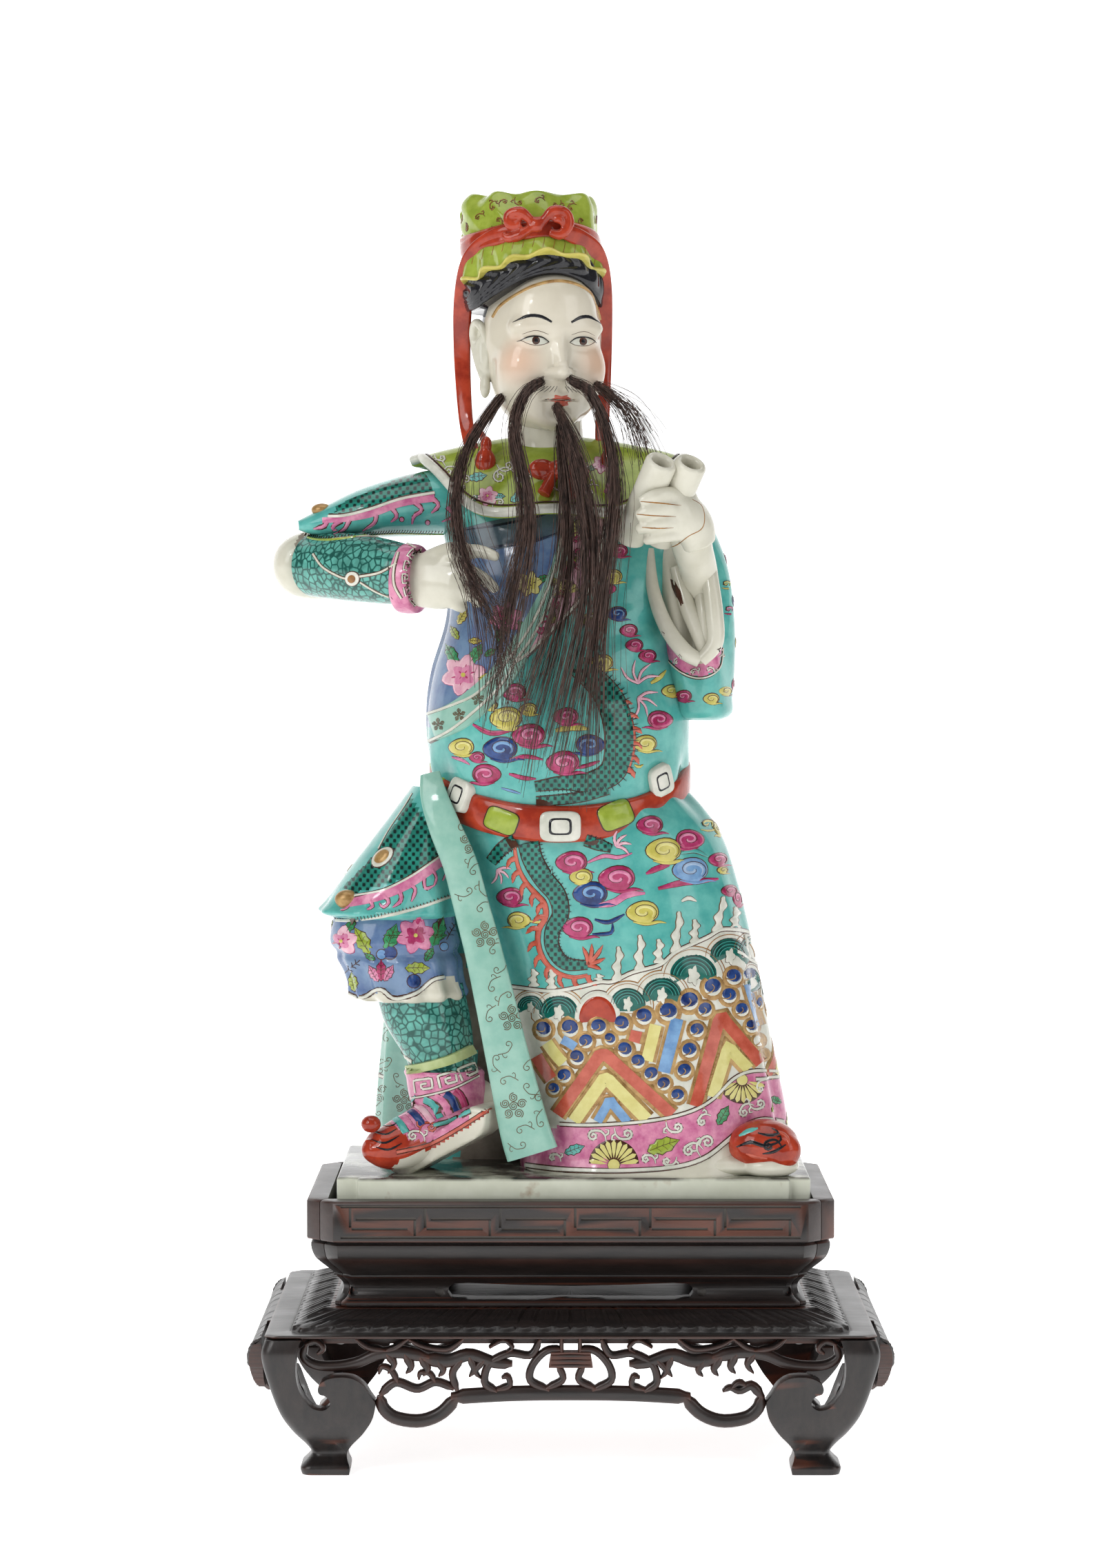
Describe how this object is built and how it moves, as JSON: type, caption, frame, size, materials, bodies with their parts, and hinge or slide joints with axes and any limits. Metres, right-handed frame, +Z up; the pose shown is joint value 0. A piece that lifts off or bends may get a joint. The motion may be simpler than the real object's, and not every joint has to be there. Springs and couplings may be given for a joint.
{
  "type": "porcelain figure on a carved stand",
  "caption": "Enamelled porcelain figure of a robed dignitary with real hair for a beard, on its own plinth, set in the tray of a carved dark hardwood stand.",
  "frame": {"origin": "on the ground, below the middle of the stand", "axes": "+Z up, +Y away from the viewer who faces the figure, +X to that viewer's right"},
  "size_m": [0.211, 0.14, 0.422],
  "materials": {
    "glazed_porcelain": "clear glossy glaze over white porcelain, painted all over in enamels, mostly turquoise",
    "dark_hardwood": "near-black stained and waxed hardwood, worn red-brown on its edges, dusty in its carving",
    "natural_hair": "dark brown natural hair, loose strands"
  },
  "bodies": {
    "root": {"leg_front_left": "dark_hardwood", "leg_front_right": "dark_hardwood", "leg_back_left": "dark_hardwood", "leg_back_right": "dark_hardwood", "apron_front": "dark_hardwood", "apron_back": "dark_hardwood", "apron_left": "dark_hardwood", "apron_right": "dark_hardwood", "table_top": "dark_hardwood", "waist_front": "dark_hardwood", "waist_back": "dark_hardwood", "waist_right": "dark_hardwood", "waist_left": "dark_hardwood", "tray_rail_front": "dark_hardwood", "tray_rail_back": "dark_hardwood", "tray_rail_right": "dark_hardwood", "tray_rail_left": "dark_hardwood", "tray_floor": "dark_hardwood", "porcelain_figure": "glazed_porcelain", "hair_temple_right": "natural_hair", "hair_moustache_right": "natural_hair", "hair_moustache_left": "natural_hair", "hair_lower_lip": "natural_hair", "hair_jaw_left": "natural_hair", "hair_chin": "natural_hair"}
  },
  "joints": []
}
